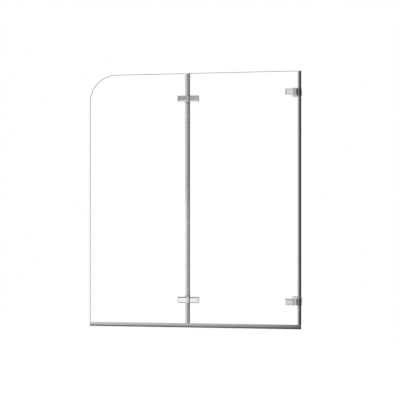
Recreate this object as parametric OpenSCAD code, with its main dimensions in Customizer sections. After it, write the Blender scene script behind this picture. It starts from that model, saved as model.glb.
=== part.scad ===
// Folding bath screen: two frameless leaves of toughened glass. The inner leaf swings on two wall
// hinges, and the outer leaf folds flat against it on two fold hinges.
//
// Frame: +X points into the wall, whose face is x = 0, +Z is up, and y = 0 is the middle of the glass.
// -Y is the side that the fold knuckles stand on. The origin is the middle of the lower bracket's
// wall face. A size named _d is a distance from the wall, so it lies at x = -d.

/* [Screen] */
// Width from the wall to the outer glass edge
screen_w = 1200; // [1050:10:1500]
// Height from the bath rim to the top edge of the glass
screen_h = 1400; // [1300:10:1600]
// Thickness of the glass
glass_t = 6; // [5:0.5:8]
// Radius of the outer glass's top corner
corner_r = 152; // [40:2:200]
// Distance from the wall to the inner glass
glass_edge_d = 12.6; // [10:0.2:14]
// Distance from the wall to the fold pins
fold_d = 631.4; // [500:0.2:800]
// Outer glass edge to the fold pins' axis
fold_outer_gap = 9.6; // [5.6:0.2:10]
// Inner glass edge to the fold pins' axis
fold_inner_gap = 4.8; // [4.6:0.2:8]

/* [Wall hinges] */
// Height of the lower bracket's middle above the bath rim
low_bracket_h = 152; // [100:1:250]
// Middle of the upper bracket below the top edge
high_bracket_drop = 116; // [80:1:250]
// Distance from the wall to the swing pins
swing_d = 32.5; // [31:0.5:40]
// Radius of the hinge barrel
barrel_r = 13; // [11:0.5:14]
// Height of the hinge leaf and of its barrel
wall_leaf_h = 35; // [30:1:45]
// Width of the leaf past its barrel
wall_leaf_w = 42.5; // [40:0.5:60]
// Height of the bracket's ear
ear_h = 8; // [8:0.5:12]
// Radius of the bracket's ear
ear_r = 9; // [8.5:0.5:11]
// Radius that the ear loses at its free end
ear_bevel = 1.5; // [0.5:0.5:2]
// Width of the wall plate
wall_plate_w = 48; // [46:1:60]
// Thickness of the wall plate
wall_plate_t = 5; // [4:0.5:7]
// Corner radius of the wall plate
wall_plate_r = 3; // [1:0.5:5]
// Thickness of the bracket's web
web_w = 16; // [12:1:17]
// Distance between the two wall screw holes
fix_pitch = 35; // [34:0.5:36]
// Radius of a wall screw hole
fix_hole_r = 2.75; // [2.25:0.25:3.25]
// Radius of the countersink of a wall screw hole
fix_sink_r = 5.2; // [4:0.2:5.4]
// Radius of the swing pin
swing_pin_r = 4; // [3:0.5:5]
// Wall thickness of the swing bush
swing_bush_t = 2; // [1.5:0.5:3]
// Radius of the grub screw
grub_r = 2.5; // [2:0.5:3]
// Length of the barrel cap
cap_h = 4; // [3:0.5:6]
// Radius of the corners of the glass notch
notch_r = 6; // [3:1:10]

/* [Fold hinges] */
// Middle of the lower fold hinge above the bath rim
low_fold_h = 152; // [100:1:250]
// Middle of the upper fold hinge below the top edge
high_fold_drop = 140; // [80:1:250]
// Height of the fold hinge
fold_leaf_h = 35; // [32:1:50]
// Reach of a fold leaf from the pin
fold_leaf_reach = 61; // [58:1:80]
// Radius of the knuckles
knuckle_r = 9; // [8:0.2:9]
// Height of the middle knuckle
knuckle_mid_h = 13; // [10:1:18]
// Radius of the fold pin
fold_pin_r = 3; // [2:0.5:4]
// Wall thickness of the fold bushes
fold_bush_t = 2; // [1:0.5:2.5]
// Half of the gap between the plates of the folded leaves
fold_play = 2; // [1.5:0.5:4]

/* [Glass clamps] */
// Thickness of a clamp plate
plate_t = 5; // [4.5:0.5:7]
// Thickness of a gasket
gasket_t = 1; // [0.5:0.25:2]
// Corner radius of a clamp plate
plate_r = 3; // [1:0.5:5]
// Width and depth of the steep bevel at a plate's rim
rim_bevel = 2; // [1:0.5:2.5]
// Width of the shallow bevel from there to the plate's face
bevel_w = 5.5; // [2:0.5:6.5]
// Depth of that bevel
bevel_t = 1; // [0.5:0.25:1.5]
// How far the gasket stays back from the plate's edge
gasket_inset = 1; // [0.5:0.5:3]
// Distance between a leaf's two screws
screw_pitch = 16; // [14:1:18]
// Distance from a plate's hinge end to its first screw
screw_inset = 13; // [12:0.5:14]
// Radius of a hole in the glass
glass_hole_r = 5; // [4.5:0.25:6]
// Radius of a clamp screw
screw_r = 2.5; // [2:0.25:3]
// Radius of a clamp screw's head
head_r = 4.6; // [4:0.2:5]
// Depth that a clamp screw goes into the front plate
thread_t = 3.5; // [2.5:0.25:4]
// Width of a screw's hexagon socket, across its corners
socket_w = 3.4; // [2.4:0.2:4]

/* [Seals] */
// Wall thickness of the clips
seal_t = 1.2; // [0.8:0.1:1.6]
// Wall thickness of the bulbs
bulb_t = 0.9; // [0.6:0.1:1.2]
// Length of the clip on the wall side
wall_clip_w = 8.2; // [6:0.2:12]
// Length of the clip on the outer glass at the fold
outer_clip_w = 10; // [6:0.5:14]
// Length of the clip on the inner glass at the fold
inner_clip_w = 4.2; // [3:0.2:8]
// Height of the drip seal above the bath rim
drip_h = 24; // [20:1:32]
// Height of the drip seal's lips
lip_h = 6.8; // [5:0.2:9]
// Reach of the rear lip from the middle of the glass
lip_reach = 10; // [7:0.5:12]

/* [Hidden] */
$fn = 48;

// Clearances
pin_fit = 0.03;     // round a pin in its bore, and a screw in its thread
sleeve_fit = 0.1;   // round a sleeve in the glass, and a screw in its plate or sleeve
seat_gap = 0.2;     // a glass edge to the bottom of its clip
end_play = 0.15;    // along a pin, between a bush's flange and the piece that it turns against
turn_gap = 0.6;     // a barrel to the bracket's web, and a knuckle to the other leaf's plate
cut_gap = 0.5;      // the end of a seal to the hinge that it makes room for
notch_gap = 2;      // the glass notch to the bracket and the barrel
seam_gap = 0.4;     // between the seals of the two leaves
stack_gap = 0.3;    // a drip seal to the upright seals that stand on it
wall_gap = 0.6;     // a seal's bulb to the wall
drip_wall_gap = 1.2; // the drip seal's end to the wall

flange_t = 0.6;     // thickness of a bush's flange
pin_recess = 0.5;   // how far a pin stays in from the end of its barrel
run_out = 0.3;      // length of a tapped hole past its screw
past = 1;           // how far a cut runs past the face that it opens

// Heights
rim_z = -low_bracket_h;
top_z = rim_z + screen_h;
high_bracket_z = top_z - high_bracket_drop;
fold_zs = [top_z - high_fold_drop, rim_z + low_fold_h];
bracket_h = wall_leaf_h + flange_t + end_play + ear_h;
leaf_rise = (bracket_h - wall_leaf_h) / 2;
glass_z = rim_z + lip_h + seal_t + seat_gap;
seal_z = rim_z + drip_h + stack_gap;

// Depths, from the middle of the glass
half_glass = glass_t / 2;
clamp_y = half_glass + gasket_t;
plate_y = clamp_y + plate_t;
fold_y = plate_y + fold_play;
half_clip = half_glass + seal_t;

// Distances from the wall
web_d = swing_d - barrel_r - turn_gap;
notch_d = swing_d + barrel_r + notch_gap;
wall_leaf_d = swing_d + barrel_r;
inner_fold_edge_d = fold_d - fold_inner_gap;
outer_fold_edge_d = fold_d + fold_outer_gap;
inner_clip_face_d = inner_fold_edge_d + seat_gap + seal_t;
swing_bush_r = swing_pin_r + pin_fit + swing_bush_t;
fold_bush_r = fold_pin_r + pin_fit + fold_bush_t;
// Distances from the fold pin: the front plate's end beside a knuckle, and the back plate's beside the seal
fold_root = knuckle_r + turn_gap;
fold_clamp_d = fold_outer_gap + outer_clip_w;

// ---------------------------------------------------------------- placing

// Places an upright wall hinge at the upper bracket, or turned over at the lower one
module at_wall_hinge(upper) {
    if (upper)
        translate([0, 0, high_bracket_z]) children();
    else
        mirror([0, 0, 1]) children();
}

// Both wall hinges
module at_wall_hinges() {
    at_wall_hinge(true) children();
    at_wall_hinge(false) children();
}

// A fold hinge's frame: its pin is the Z axis, and the middle of the glass is at y = fold_y
module at_fold_hinge(z) translate([-fold_d, -fold_y, z]) children();

// A piece drawn in the XZ plane, from y0 to y1
module slab(y0, y1) translate([0, y1, 0]) rotate([90, 0, 0]) linear_extrude(y1 - y0) children();

// ---------------------------------------------------------------- shapes

// A rectangle from (x0, y0) to (x1, y1) with round corners
module round_rect(x0, x1, y0, y1, r) {
    translate([x0 + r, y0]) square([x1 - x0 - 2 * r, y1 - y0]);
    translate([x0, y0 + r]) square([x1 - x0, y1 - y0 - 2 * r]);
    for (x = [x0 + r, x1 - r], y = [y0 + r, y1 - r]) translate([x, y]) circle(r);
}

// The section of a plate from a to b whose outer face, at height plate_t, falls to its ends in a shallow
// and then a steep bevel
module bevel_section(a, b) {
    w = rim_bevel + bevel_w;
    t = plate_t - bevel_t;
    polygon([
        [a, 0], [b, 0], [b, t - rim_bevel], [b - rim_bevel, t], [b - w, plate_t], [a + w, plate_t],
        [a + rim_bevel, t], [a, t - rim_bevel]
    ]);
}

// A clamp plate from x0 to x1 and h high, lying on y = 0 with its bevelled face towards -Y
module clamp_plate(x0, x1, h)
    intersection() {
        slab(-plate_t, 0) round_rect(x0, x1, -h / 2, h / 2, plate_r);
        translate([0, 0, -h / 2]) mirror([0, 1, 0]) linear_extrude(h) bevel_section(x0, x1);
        translate([x0, 0, 0]) rotate([90, 0, 90]) linear_extrude(x1 - x0)
            rotate(90) bevel_section(-h / 2, h / 2);
    }

// The two screw places of a leaf: s is +1 where the plate runs towards +X from its hinge end at x
module at_screws(x, s)
    for (i = [0, 1]) translate([x + s * (screw_inset + i * screw_pitch), 0, 0]) children();

// A cylinder along Y from y0 to y1
module y_rod(r, y0, y1) translate([0, y1, 0]) rotate([90, 0, 0]) cylinder(r = r, h = y1 - y0);

// A countersunk clamp screw along Y, with its head flush in the back plate
module clamp_screw()
    difference() {
        union() {
            y_rod(screw_r, -clamp_y - thread_t, plate_y - (head_r - screw_r) / 2);
            translate([0, plate_y, 0]) rotate([90, 0, 0])
                cylinder(r1 = head_r, r2 = screw_r, h = head_r - screw_r);
        }
        translate([0, plate_y + past, 0]) rotate([90, 0, 0])
            cylinder(r = socket_w / 2, h = past + head_r - screw_r, $fn = 6);
    }

// The room for a clamp screw in its back plate
module screw_sink() {
    y_rod(screw_r + sleeve_fit, clamp_y - past, plate_y + past);
    translate([0, plate_y + sleeve_fit, 0]) rotate([90, 0, 0])
        cylinder(r1 = head_r + 2 * sleeve_fit, r2 = screw_r + sleeve_fit, h = head_r - screw_r + sleeve_fit);
}

// The tapped hole for a clamp screw in its front plate
module screw_thread() y_rod(screw_r + pin_fit, -clamp_y - thread_t - run_out, -clamp_y + past);

// A nylon sleeve round a clamp screw, through the glass and both gaskets
module sleeve()
    difference() {
        y_rod(glass_hole_r - sleeve_fit, -clamp_y, clamp_y);
        y_rod(screw_r + sleeve_fit, -clamp_y - past, clamp_y + past);
    }

// The gaskets on both sides of the glass under a plate from x0 to x1, h high
module gasket_pair(x0, x1, h, screw_x, s)
    for (y0 = [-clamp_y, half_glass])
        difference() {
            slab(y0, y0 + gasket_t)
                round_rect(x0 + gasket_inset, x1 - gasket_inset, gasket_inset - h / 2, h / 2 - gasket_inset,
                           plate_r);
            at_screws(screw_x, s) y_rod(glass_hole_r, -clamp_y - past, clamp_y + past);
        }

// ---------------------------------------------------------------- wall hinge, with its ear below

// Wall plate, web and ear in one casting
module wall_bracket() {
    z0 = -bracket_h / 2;
    color("silver") difference() {
        union() {
            rotate([90, 0, 90]) translate([0, 0, -wall_plate_t]) linear_extrude(wall_plate_t)
                round_rect(-wall_plate_w / 2, wall_plate_w / 2, z0, -z0, wall_plate_r);
            translate([-web_d, -web_w / 2, z0]) cube([web_d - wall_plate_t / 2, web_w, bracket_h]);
            translate([-swing_d, -web_w / 2, z0]) cube([swing_d - wall_plate_t / 2, web_w, ear_h]);
            translate([-swing_d, 0, z0]) cylinder(r1 = ear_r - ear_bevel, r2 = ear_r, h = ear_bevel);
            translate([-swing_d, 0, z0 + ear_bevel]) cylinder(r = ear_r, h = ear_h - ear_bevel);
        }
        translate([-swing_d, 0, z0 - past]) cylinder(r = swing_pin_r + pin_fit, h = ear_h + 2 * past);
        translate([-swing_d, 0, z0 + ear_h / 2]) y_rod(grub_r + pin_fit, 0, ear_r + past);
        for (s = [-1, 1]) translate([0, s * fix_pitch / 2, 0]) rotate([0, -90, 0]) {
            translate([0, 0, -past]) cylinder(r = fix_hole_r, h = wall_plate_t + 2 * past);
            translate([0, 0, wall_plate_t - fix_sink_r + fix_hole_r])
                cylinder(r1 = fix_hole_r, r2 = fix_sink_r, h = fix_sink_r - fix_hole_r);
            translate([0, 0, wall_plate_t]) cylinder(r = fix_sink_r, h = past);
        }
    }
}

// Pin that stands up from the ear into the barrel
module swing_pin()
    color("gainsboro") translate([-swing_d, 0, -bracket_h / 2 + pin_recess])
        cylinder(r = swing_pin_r, h = bracket_h - cap_h - 3 * pin_recess);

// Grub screw in the back of the ear, which holds the pin
module grub_screw()
    color("dimgray") translate([-swing_d, 0, -bracket_h / 2 + ear_h / 2]) difference() {
        y_rod(grub_r, swing_pin_r + pin_fit, ear_r - pin_recess);
        y_rod(grub_r / 2, ear_r - pin_recess - grub_r, ear_r);
    }

// Front plate and barrel in one casting
module wall_leaf() {
    color("silver") translate([0, 0, leaf_rise]) difference() {
        union() {
            translate([0, -clamp_y, 0]) clamp_plate(-wall_leaf_d - wall_leaf_w, -swing_d, wall_leaf_h);
            translate([-swing_d, 0, -wall_leaf_h / 2]) cylinder(r = barrel_r, h = wall_leaf_h);
        }
        translate([-swing_d, 0, -wall_leaf_h / 2 - past])
            cylinder(r = swing_bush_r + pin_fit, h = wall_leaf_h + 2 * past);
        at_screws(-wall_leaf_d, -1) screw_thread();
    }
}

module wall_back_plate()
    color("silver") translate([0, 0, leaf_rise]) difference() {
        translate([0, clamp_y, 0]) mirror([0, 1, 0])
            clamp_plate(-wall_leaf_d - wall_leaf_w, -wall_leaf_d - turn_gap, wall_leaf_h);
        at_screws(-wall_leaf_d, -1) screw_sink();
    }

module wall_screws()
    color("gainsboro") translate([0, 0, leaf_rise]) at_screws(-wall_leaf_d, -1) clamp_screw();

module wall_sleeves() color("white") translate([0, 0, leaf_rise]) at_screws(-wall_leaf_d, -1) sleeve();

module wall_gaskets()
    color("whitesmoke") translate([0, 0, leaf_rise])
        gasket_pair(-wall_leaf_d - wall_leaf_w, -notch_d, wall_leaf_h, -wall_leaf_d, -1);

// Flanged bush in the barrel; its flange runs on the ear
module swing_bush()
    color("white") translate([-swing_d, 0, leaf_rise - wall_leaf_h / 2]) difference() {
        union() {
            translate([0, 0, -flange_t]) cylinder(r = ear_r - pin_recess, h = flange_t);
            cylinder(r = swing_bush_r, h = wall_leaf_h - cap_h - pin_recess);
        }
        translate([0, 0, -flange_t - past]) cylinder(r = swing_pin_r + pin_fit, h = wall_leaf_h + 2 * past);
    }

// Plug that closes the far end of the barrel, flush
module barrel_cap()
    color("silver") translate([-swing_d, 0, leaf_rise + wall_leaf_h / 2 - cap_h])
        cylinder(r = swing_bush_r, h = cap_h);

// ---------------------------------------------------------------- fold hinge, with its pin on Z

// The rows that a leaf leaves to the other leaf's knuckles, as rings of the plate cut back round the pin
module knuckle_room(z0, z1) translate([0, 0, z0]) cylinder(r = fold_root, h = z1 - z0);

// Inner leaf: plate towards +X and the two end knuckles
module fold_inner_leaf() {
    mid = knuckle_mid_h / 2 + flange_t + end_play;
    color("silver") difference() {
        union() {
            translate([0, fold_y - clamp_y, 0]) clamp_plate(0, fold_leaf_reach, fold_leaf_h);
            translate([0, 0, -fold_leaf_h / 2]) cylinder(r = knuckle_r, h = fold_leaf_h);
        }
        knuckle_room(-mid, mid);
        translate([0, 0, -fold_leaf_h / 2 - past])
            cylinder(r = fold_pin_r + pin_fit, h = fold_leaf_h + 2 * past);
        translate([0, fold_y, 0]) at_screws(fold_clamp_d, 1) screw_thread();
    }
}

// Outer leaf: plate towards -X and the middle knuckle
module fold_outer_leaf() {
    mid = knuckle_mid_h / 2;
    color("silver") difference() {
        union() {
            translate([0, fold_y - clamp_y, 0]) clamp_plate(-fold_leaf_reach, 0, fold_leaf_h);
            translate([0, 0, -mid]) cylinder(r = knuckle_r, h = knuckle_mid_h);
        }
        knuckle_room(-fold_leaf_h / 2 - past, -mid);
        knuckle_room(mid, fold_leaf_h / 2 + past);
        translate([0, 0, -fold_leaf_h / 2 - past])
            cylinder(r = fold_bush_r + pin_fit, h = fold_leaf_h + 2 * past);
        translate([0, fold_y, 0]) at_screws(-fold_clamp_d, -1) screw_thread();
    }
}

// Back plate of a fold leaf: s is +1 for the inner leaf
module fold_back_plate(s)
    color("silver") translate([0, fold_y, 0]) difference() {
        translate([0, clamp_y, 0]) mirror([0, 1, 0])
            if (s > 0) clamp_plate(fold_clamp_d, fold_leaf_reach, fold_leaf_h);
            else clamp_plate(-fold_leaf_reach, -fold_clamp_d, fold_leaf_h);
        at_screws(s * fold_clamp_d, s) screw_sink();
    }

module fold_gaskets(s)
    color("whitesmoke") translate([0, fold_y, 0])
        if (s > 0) gasket_pair(fold_clamp_d, fold_leaf_reach, fold_leaf_h, fold_clamp_d, 1);
        else gasket_pair(-fold_leaf_reach, -fold_clamp_d, fold_leaf_h, -fold_clamp_d, -1);

module fold_screws(s)
    color("gainsboro") translate([0, fold_y, 0]) at_screws(s * fold_clamp_d, s) clamp_screw();

module fold_sleeves(s) color("white") translate([0, fold_y, 0]) at_screws(s * fold_clamp_d, s) sleeve();

module fold_pin()
    color("gainsboro") translate([0, 0, pin_recess - fold_leaf_h / 2])
        cylinder(r = fold_pin_r, h = fold_leaf_h - 2 * pin_recess);

// The two flanged bushes in the middle knuckle, flanges outwards
module fold_bush_pair()
    color("white") for (s = [0, 1]) mirror([0, 0, s])
        difference() {
            union() {
                translate([0, 0, knuckle_mid_h / 2]) cylinder(r = knuckle_r - pin_recess, h = flange_t);
                translate([0, 0, pin_recess]) cylinder(r = fold_bush_r, h = knuckle_mid_h / 2 - pin_recess);
            }
            cylinder(r = fold_pin_r + pin_fit, h = knuckle_mid_h);
        }

// ---------------------------------------------------------------- glass

module inner_glass() {
    color("lightcyan", 0.4) difference() {
        slab(-half_glass, half_glass) difference() {
            translate([-inner_fold_edge_d, glass_z])
                square([inner_fold_edge_d - glass_edge_d, top_z - glass_z]);
            for (z = [0, high_bracket_z]) translate([0, z])
                round_rect(-notch_d, notch_r, -bracket_h / 2 - notch_gap, bracket_h / 2 + notch_gap, notch_r);
        }
        at_wall_hinges() translate([0, 0, leaf_rise]) at_screws(-wall_leaf_d, -1) glass_hole();
        for (z = fold_zs) translate([-fold_d, 0, z]) at_screws(fold_clamp_d, 1) glass_hole();
    }
}

module outer_glass() {
    color("lightcyan", 0.4) difference() {
        slab(-half_glass, half_glass) {
            translate([-screen_w + corner_r, glass_z])
                square([screen_w - corner_r - outer_fold_edge_d, top_z - glass_z]);
            translate([-screen_w, glass_z]) square([corner_r + past, top_z - glass_z - corner_r]);
            translate([-screen_w + corner_r, top_z - corner_r]) circle(corner_r, $fn = 128);
        }
        for (z = fold_zs) translate([-fold_d, 0, z]) at_screws(-fold_clamp_d, -1) glass_hole();
    }
}

module glass_hole() y_rod(glass_hole_r, -half_glass - past, half_glass + past);

// ---------------------------------------------------------------- seals

// Clip over a glass edge at x, w long on the glass: s is +1 where the glass lies towards -X of its edge
module clip_section(x, s, w)
    translate([x, 0]) rotate(s > 0 ? 0 : 180)
        difference() {
            translate([-w, -half_clip]) square([w + seat_gap + seal_t, 2 * half_clip]);
            translate([-w - past, -half_glass]) square([w + past + seat_gap, 2 * half_glass]);
        }

// Hollow bulb from the clip's face at x0 to its round end at x1
module bulb_section(x0, x1)
    difference() {
        union() {
            translate([x0 - seal_t / 2, -half_clip])
                square([x1 - half_clip - x0 + seal_t / 2, 2 * half_clip]);
            translate([x1 - half_clip, 0]) circle(half_clip);
        }
        translate([x0, bulb_t - half_clip]) square([x1 - half_clip - x0, 2 * (half_clip - bulb_t)]);
        translate([x1 - half_clip, 0]) circle(half_clip - bulb_t);
    }

module wall_seal(z0, z1)
    color("darkgray") translate([0, 0, z0]) linear_extrude(z1 - z0) {
        clip_section(-glass_edge_d, 1, wall_clip_w);
        bulb_section(-glass_edge_d + seat_gap + seal_t, -wall_gap);
    }

module outer_fold_seal(z0, z1)
    color("darkgray") translate([0, 0, z0]) linear_extrude(z1 - z0) {
        clip_section(-outer_fold_edge_d, 1, outer_clip_w);
        bulb_section(-outer_fold_edge_d + seat_gap + seal_t, -inner_clip_face_d - seam_gap);
    }

module inner_fold_seal(z0, z1)
    color("gray") translate([0, 0, z0]) linear_extrude(z1 - z0)
        clip_section(-inner_fold_edge_d, -1, inner_clip_w);

// Drip seal from x0 to x1: a clip over the bottom edge of the glass, a front lip and a rear lip
module drip_seal(x0, x1)
    color("darkgray") translate([x0, 0, rim_z]) rotate([90, 0, 90]) linear_extrude(x1 - x0)
        polygon([
            [-half_clip, drip_h], [-half_clip, lip_h], [-half_glass / 2 - seal_t, 0], [-half_glass / 2, 0],
            [-half_glass, lip_h - seal_t], [half_glass, lip_h - seal_t], [lip_reach - seal_t, 0],
            [lip_reach, seal_t], [half_clip, lip_h + seal_t], [half_clip, drip_h], [half_glass, drip_h],
            [half_glass, lip_h + seal_t], [-half_glass, lip_h + seal_t], [-half_glass, drip_h]
        ]);

// Ends of the upright seals' three lengths, from the top down: each row is [z0, z1]
wall_seal_rows = [
    [high_bracket_z + bracket_h / 2 + cut_gap, top_z],
    [bracket_h / 2 + cut_gap, high_bracket_z - bracket_h / 2 - cut_gap],
    [seal_z, -bracket_h / 2 - cut_gap]
];
fold_cut = fold_leaf_h / 2 + cut_gap;
fold_seal_rows = [
    [fold_zs[0] + fold_cut, top_z],
    [fold_zs[1] + fold_cut, fold_zs[0] - fold_cut],
    [seal_z, fold_zs[1] - fold_cut]
];

// ---------------------------------------------------------------- the pieces

at_wall_hinge(true) wall_bracket();  // upper_wall_bracket
at_wall_hinge(false) wall_bracket();  // lower_wall_bracket
at_wall_hinges() swing_pin();  // swing_pins
at_wall_hinges() grub_screw();  // pin_grub_screws

inner_glass();
at_wall_hinge(true) wall_leaf();  // upper_wall_leaf
at_wall_hinge(false) wall_leaf();  // lower_wall_leaf
at_wall_hinge(true) wall_back_plate();  // upper_wall_back_plate
at_wall_hinge(false) wall_back_plate();  // lower_wall_back_plate
at_wall_hinge(true) wall_gaskets();  // upper_wall_gaskets
at_wall_hinge(false) wall_gaskets();  // lower_wall_gaskets
at_wall_hinges() wall_screws();  // wall_leaf_screws
at_wall_hinges() wall_sleeves();  // wall_leaf_sleeves
at_wall_hinges() swing_bush();  // swing_bushes
at_wall_hinges() barrel_cap();  // barrel_caps
wall_seal(wall_seal_rows[0][0], wall_seal_rows[0][1]);  // wall_seal_top
wall_seal(wall_seal_rows[1][0], wall_seal_rows[1][1]);  // wall_seal_middle
wall_seal(wall_seal_rows[2][0], wall_seal_rows[2][1]);  // wall_seal_bottom

at_fold_hinge(fold_zs[0]) fold_inner_leaf();  // upper_fold_inner_leaf
at_fold_hinge(fold_zs[1]) fold_inner_leaf();  // lower_fold_inner_leaf
at_fold_hinge(fold_zs[0]) fold_back_plate(1);  // upper_fold_inner_back_plate
at_fold_hinge(fold_zs[1]) fold_back_plate(1);  // lower_fold_inner_back_plate
at_fold_hinge(fold_zs[0]) fold_gaskets(1);  // upper_fold_inner_gaskets
at_fold_hinge(fold_zs[1]) fold_gaskets(1);  // lower_fold_inner_gaskets
for (z = fold_zs) at_fold_hinge(z) fold_screws(1);  // fold_inner_screws
for (z = fold_zs) at_fold_hinge(z) fold_sleeves(1);  // fold_inner_sleeves
for (z = fold_zs) at_fold_hinge(z) fold_pin();  // fold_pins
inner_fold_seal(fold_seal_rows[0][0], fold_seal_rows[0][1]);  // inner_fold_seal_top
inner_fold_seal(fold_seal_rows[1][0], fold_seal_rows[1][1]);  // inner_fold_seal_middle
inner_fold_seal(fold_seal_rows[2][0], fold_seal_rows[2][1]);  // inner_fold_seal_bottom
drip_seal(-fold_d + seam_gap, -drip_wall_gap);  // inner_drip_seal

outer_glass();
at_fold_hinge(fold_zs[0]) fold_outer_leaf();  // upper_fold_outer_leaf
at_fold_hinge(fold_zs[1]) fold_outer_leaf();  // lower_fold_outer_leaf
at_fold_hinge(fold_zs[0]) fold_back_plate(-1);  // upper_fold_outer_back_plate
at_fold_hinge(fold_zs[1]) fold_back_plate(-1);  // lower_fold_outer_back_plate
at_fold_hinge(fold_zs[0]) fold_gaskets(-1);  // upper_fold_outer_gaskets
at_fold_hinge(fold_zs[1]) fold_gaskets(-1);  // lower_fold_outer_gaskets
for (z = fold_zs) at_fold_hinge(z) fold_screws(-1);  // fold_outer_screws
for (z = fold_zs) at_fold_hinge(z) fold_sleeves(-1);  // fold_outer_sleeves
for (z = fold_zs) at_fold_hinge(z) fold_bush_pair();  // fold_bushes
outer_fold_seal(fold_seal_rows[0][0], fold_seal_rows[0][1]);  // outer_fold_seal_top
outer_fold_seal(fold_seal_rows[1][0], fold_seal_rows[1][1]);  // outer_fold_seal_middle
outer_fold_seal(fold_seal_rows[2][0], fold_seal_rows[2][1]);  // outer_fold_seal_bottom
drip_seal(-screen_w, -fold_d - seam_gap);  // outer_drip_seal
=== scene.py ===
"""Looks of a frameless folding bath screen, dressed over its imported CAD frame.

Every size in the mesh code is in millimetres in the part's own frame: +X runs into the wall,
+Z is up, y = 0 is the middle of the glass, and the knuckles of the fold stand on the -Y side.
"""

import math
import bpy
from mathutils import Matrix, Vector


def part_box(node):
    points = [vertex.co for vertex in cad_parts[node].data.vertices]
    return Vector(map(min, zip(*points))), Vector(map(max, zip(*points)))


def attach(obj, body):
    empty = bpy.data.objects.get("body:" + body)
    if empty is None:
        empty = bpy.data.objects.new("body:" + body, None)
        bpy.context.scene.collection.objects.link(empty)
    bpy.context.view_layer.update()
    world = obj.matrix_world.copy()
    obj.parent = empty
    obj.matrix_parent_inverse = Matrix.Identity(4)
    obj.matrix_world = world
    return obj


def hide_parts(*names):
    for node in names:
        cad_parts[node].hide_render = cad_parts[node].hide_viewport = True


bl_info = {
    "name": "Folding Bath Screen",
    "version": (1, 0, 0),
    "blender": (4, 5, 0),
    "location": "3D View > Sidebar > Bath Screen",
    "description": "Glass, chrome hinges and seals of a folding bath screen",
    "category": "Object",
}

import bpy
import numpy as np
from bpy.props import FloatProperty, FloatVectorProperty, PointerProperty
from mathutils.geometry import tessellate_polygon

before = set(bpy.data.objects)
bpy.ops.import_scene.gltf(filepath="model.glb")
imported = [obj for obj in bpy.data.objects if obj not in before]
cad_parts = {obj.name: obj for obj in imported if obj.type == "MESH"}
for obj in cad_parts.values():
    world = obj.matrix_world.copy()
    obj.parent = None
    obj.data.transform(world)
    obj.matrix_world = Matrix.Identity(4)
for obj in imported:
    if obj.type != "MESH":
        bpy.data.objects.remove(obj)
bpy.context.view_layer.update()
MM = 0.001

# ---------------------------------------------------------------- places, from the CAD nodes

def span(node, axis):
    """Lowest and highest coordinate of a CAD node along an axis, in millimetres."""
    low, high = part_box(node)
    return low["xyz".index(axis)] / MM, high["xyz".index(axis)] / MM


RIM_Z = span("inner_drip_seal", "z")[0]
TOP_Z = span("inner_glass", "z")[1]
PANE_Z = span("inner_glass", "z")[0]
INNER_X = span("inner_glass", "x")
OUTER_X = span("outer_glass", "x")
BRACKET_Z = {u: sum(span(f"{u}_wall_bracket", "z")) / 2 for u in ("upper", "lower")}
LEAF_Z = {u: sum(span(f"{u}_wall_leaf", "z")) / 2 for u in ("upper", "lower")}
FOLD_Z = {u: sum(span(f"{u}_fold_inner_leaf", "z")) / 2 for u in ("upper", "lower")}
SWING_X = sum(span("swing_bushes", "x")) / 2
FOLD_X = sum(span("fold_pins", "x")) / 2
FOLD_Y = sum(span("fold_pins", "y")) / 2
HALF_GLASS = 3.0
CLAMP_Y, PLATE_Y = 4.0, 9.0
CORNER_R = 152.0
BRACKET_HALF = (span("upper_wall_bracket", "z")[1] - span("upper_wall_bracket", "z")[0]) / 2
LEAF_HALF = 17.5
NOTCH_X, NOTCH_H, NOTCH_R = -47.5, BRACKET_HALF + 2.0, 6.0
BARREL_R, KNUCKLE_R = 13.0, 9.0
WALL_SCREW_X = (-58.5, -74.5)
FOLD_SCREW_D = (32.6, 48.6)
SCREW_HOLE_R = 5.0
UNBEVELLED = 0.05  # share of the bevel that a side next to a barrel or knuckle keeps
END_BREAK = 0.15   # eased edge on a seal's cut end
SEAL_HALF, SEAL_INSIDE = 4.2, 3.0


# ---------------------------------------------------------------- colour and nodes

def linear(hex_colour):
    """sRGB hex to linear RGBA: each channel is c / 12.92 below 0.04045, else ((c + 0.055) / 1.055) ^ 2.4."""
    c = np.array([int(hex_colour[i:i + 2], 16) for i in (1, 3, 5)]) / 255
    c = np.where(c <= 0.04045, c / 12.92, ((c + 0.055) / 1.055) ** 2.4)
    return (*c.tolist(), 1.0)


def grey(level):
    """A linear grey."""
    return (level, level, level, 1.0)


def greys(*stops):
    """Stops of linear grey for colour_along, from (place, level) rows."""
    return [(place, grey(level)) for place, level in stops]


def add(tree, kind, settings=None, **inputs):
    """Adds a node. Settings go on the node itself; inputs on its sockets, by name with _ for a space, by
    identifier or by number as i0, i1, ..., each a value or the socket that feeds it."""
    node = tree.nodes.new(kind)
    for key, value in (settings or {}).items():
        setattr(node, key, value)
    for key, value in inputs.items():
        if key[0] == "i" and key[1:].isdigit():
            socket = node.inputs[int(key[1:])]
        else:
            named = [i for i in node.inputs if key in (i.identifier, i.name.replace(" ", "_"))]
            socket = next((i for i in named if i.identifier == key), named[0])
        if isinstance(value, bpy.types.NodeSocket):
            tree.links.new(value, socket)
        else:
            socket.default_value = value
    return node


def colour_along(tree, value, stops):
    """Colour over a place: each stop is (place, linear RGBA), and the colour runs evenly between two."""
    low, high = stops[0][0], stops[-1][0]
    share = add(tree, "ShaderNodeMapRange", Value=value, i1=low, i2=high)
    node = add(tree, "ShaderNodeValToRGB", Fac=share.outputs[0])
    marks = node.color_ramp.elements
    for i, (at, colour) in enumerate(stops):
        mark = marks[i] if i < 2 else marks.new(1.0)
        mark.position, mark.color = (at - low) / (high - low), colour
    return node.outputs[0]


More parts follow.
